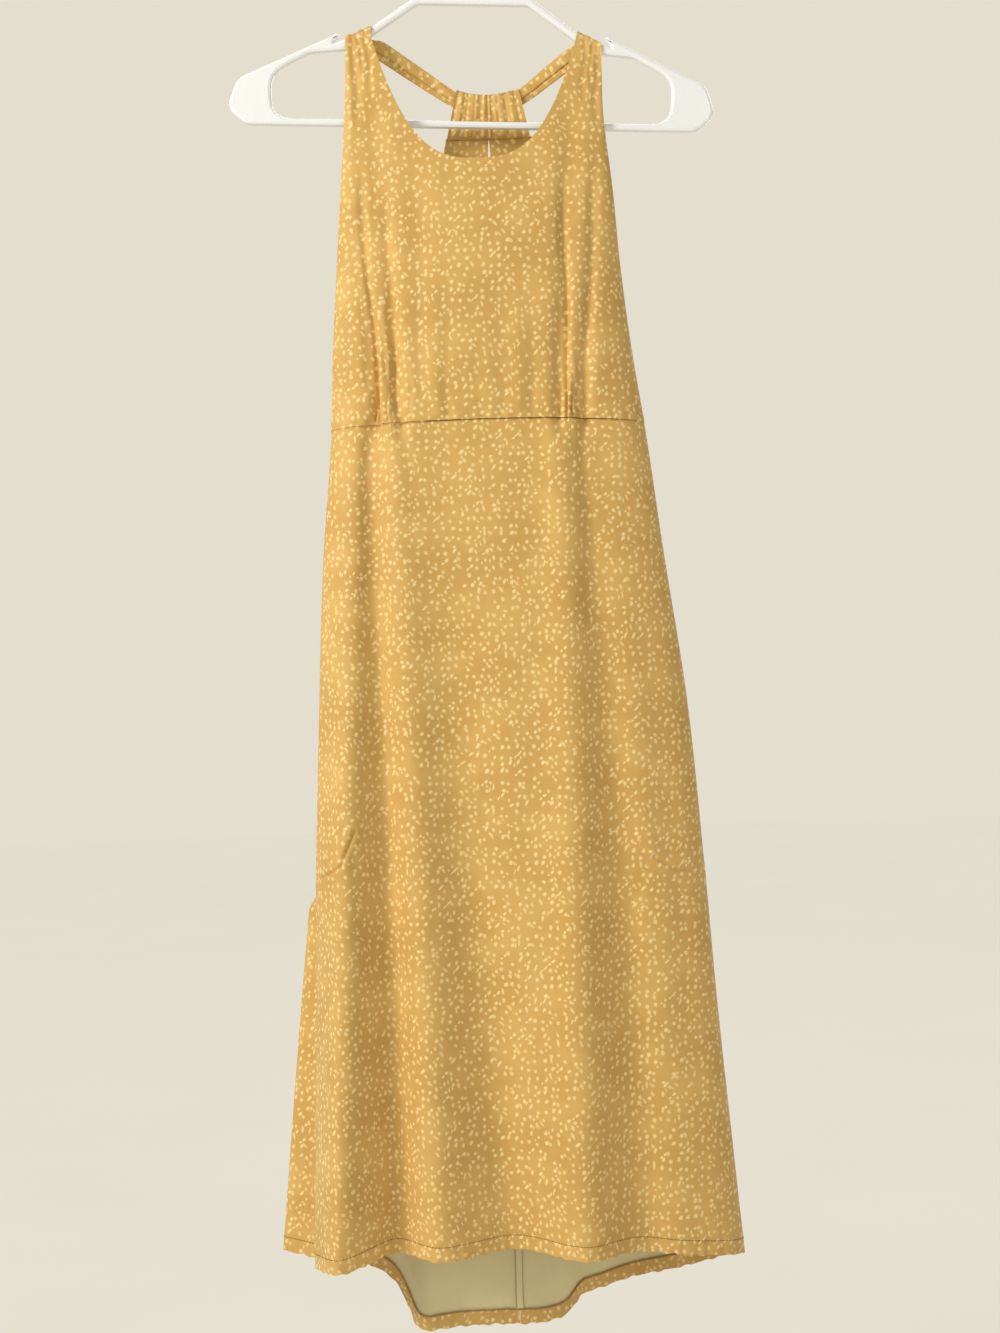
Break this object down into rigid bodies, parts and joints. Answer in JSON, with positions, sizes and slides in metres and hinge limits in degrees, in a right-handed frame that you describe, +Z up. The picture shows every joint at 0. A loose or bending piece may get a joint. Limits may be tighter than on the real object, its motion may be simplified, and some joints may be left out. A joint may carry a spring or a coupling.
{
  "type": "sundress on hanger",
  "caption": "Sleeveless jersey sundress with empire seam, racer back and longer back hem, hung on a one-piece plastic hanger.",
  "frame": {"origin": "the bearing point of the hanger's hook: the inside of the hook's top, on its middle line, where it rests on a rail or nail", "axes": "+Z up, -Y out of the dress's front, +X to the right of someone looking at its front"},
  "size_m": [0.4227, 0.114, 1.2474],
  "materials": {
    "jersey": "smooth printed jersey with a slight sheen",
    "jersey_wrong_side": "plain pale wrong side of the jersey",
    "hanger_plastic": "white gloss moulded plastic"
  },
  "bodies": {
    "root": {"hanger_hook": "hanger_plastic", "hanger_frame": "hanger_plastic", "front_bodice": "jersey", "back_bodice_left": "jersey", "back_bodice_right": "jersey", "back_casing": "jersey", "back_strap_left": "jersey", "back_strap_right": "jersey", "front_skirt": "jersey", "back_skirt_left": "jersey", "back_skirt_right": "jersey", "back_flounce_left": "jersey", "back_flounce_right": "jersey", "front_hem": "jersey", "back_hem_left": "jersey", "back_hem_right": "jersey", "back_seam_allowance": "jersey_wrong_side"}
  },
  "joints": []
}
